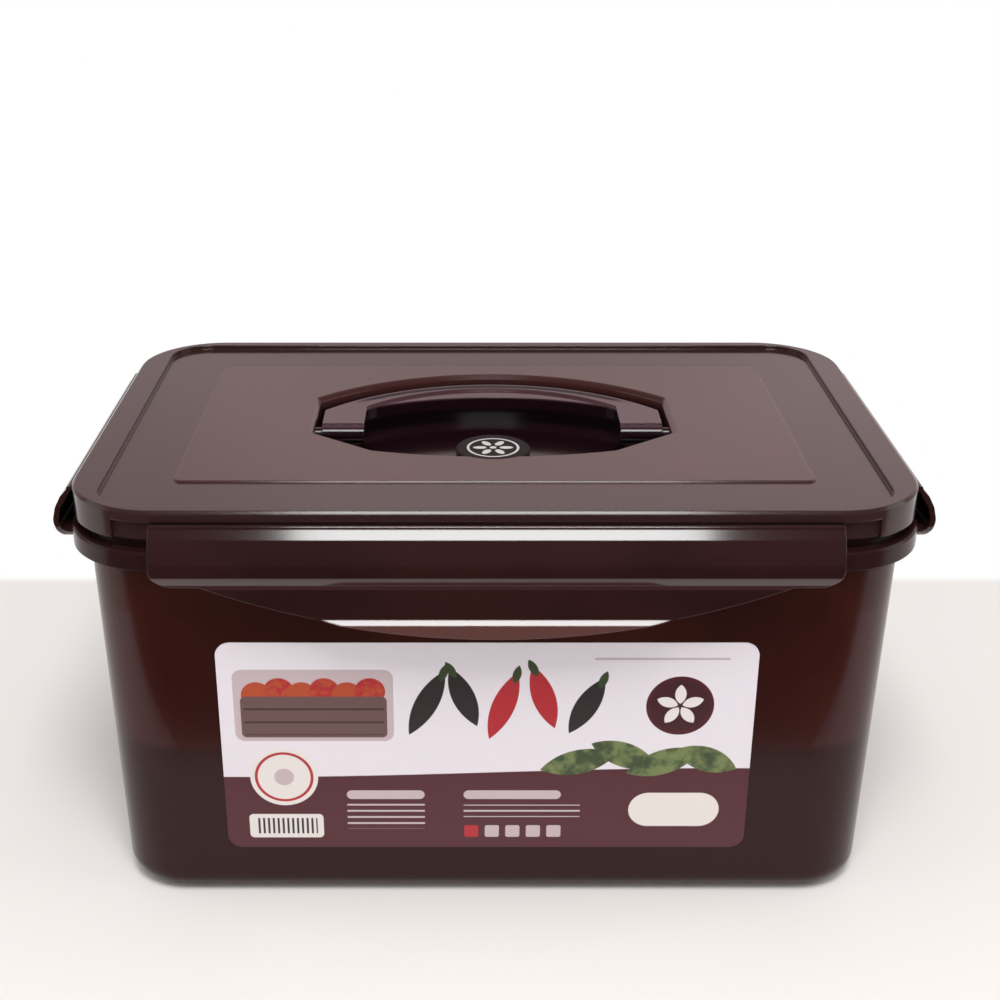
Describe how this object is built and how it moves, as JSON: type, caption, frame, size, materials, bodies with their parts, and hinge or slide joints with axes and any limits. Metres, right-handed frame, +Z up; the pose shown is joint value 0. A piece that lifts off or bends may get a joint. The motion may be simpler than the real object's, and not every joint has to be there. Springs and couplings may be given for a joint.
{
  "type": "kimchi container",
  "caption": "Rectangular pressing food keeper with a drafted tub, a four-flap snap lid, a folding carry handle in a recess, and an inner press plate with grip and vent plug.",
  "frame": {"origin": "centre of the foot ring's lowest plane, under the tub's middle", "axes": "+Z up; +X along the long side, to the right seen from the front; -Y is the front, with the label"},
  "size_m": [0.2654, 0.1766, 0.135],
  "materials": {
    "tub_plastic": "dark red-brown polypropylene, slightly see-through, glossy",
    "lid_plastic": "dark brown polypropylene, satin gloss",
    "handle_plastic": "dark brown polypropylene, gloss",
    "press_plastic": "dark brown polypropylene, satin",
    "seal_silicone": "pale translucent silicone rubber, matt",
    "label_film": "printed plastic film, white and maroon, semi-gloss"
  },
  "bodies": {
    "tub": {"tub": "tub_plastic", "front_label": "label_film"},
    "lid": {"lid": "lid_plastic", "lid_gasket": "seal_silicone"},
    "front_latch": {"front_latch": "lid_plastic"},
    "back_latch": {"back_latch": "lid_plastic"},
    "left_latch": {"left_latch": "lid_plastic"},
    "right_latch": {"right_latch": "lid_plastic"},
    "carry_handle": {"carry_handle": "handle_plastic"},
    "press": {"press_plate": "press_plastic", "press_seal": "seal_silicone"},
    "press_handle": {"press_handle": "press_plastic"},
    "air_valve": {"air_valve": "seal_silicone"}
  },
  "joints": [
    {"name": "lid_lift", "type": "slide", "parent": "tub", "child": "lid", "axis": [0, 0, 1], "range_m": [0, 0.15]},
    {"name": "front_latch_hinge", "type": "hinge", "parent": "lid", "child": "front_latch", "pos_m": [0, -0.0825, 0.1309], "axis": [-1, 0, 0], "range_deg": [-5, 150]},
    {"name": "back_latch_hinge", "type": "hinge", "parent": "lid", "child": "back_latch", "pos_m": [0, 0.0825, 0.1309], "axis": [1, 0, 0], "range_deg": [-5, 150]},
    {"name": "left_latch_hinge", "type": "hinge", "parent": "lid", "child": "left_latch", "pos_m": [-0.1269, 0, 0.1309], "axis": [0, 1, 0], "range_deg": [-5, 150]},
    {"name": "right_latch_hinge", "type": "hinge", "parent": "lid", "child": "right_latch", "pos_m": [0.1269, 0, 0.1309], "axis": [0, -1, 0], "range_deg": [-5, 150]},
    {"name": "carry_handle_hinge", "type": "hinge", "parent": "lid", "child": "carry_handle", "pos_m": [0, -0.0045, 0.1301], "axis": [1, 0, 0], "range_deg": [0, 90]},
    {"name": "press_lift", "type": "slide", "parent": "tub", "child": "press", "axis": [0, 0, 1], "range_m": [0, 0.06]},
    {"name": "press_handle_hinge", "type": "hinge", "parent": "press", "child": "press_handle", "pos_m": [0, -0.015, 0.048], "axis": [1, 0, 0], "range_deg": [0, 90]},
    {"name": "air_valve_pull", "type": "slide", "parent": "press", "child": "air_valve", "axis": [0, 0, 1], "range_m": [0, 0.004]}
  ]
}
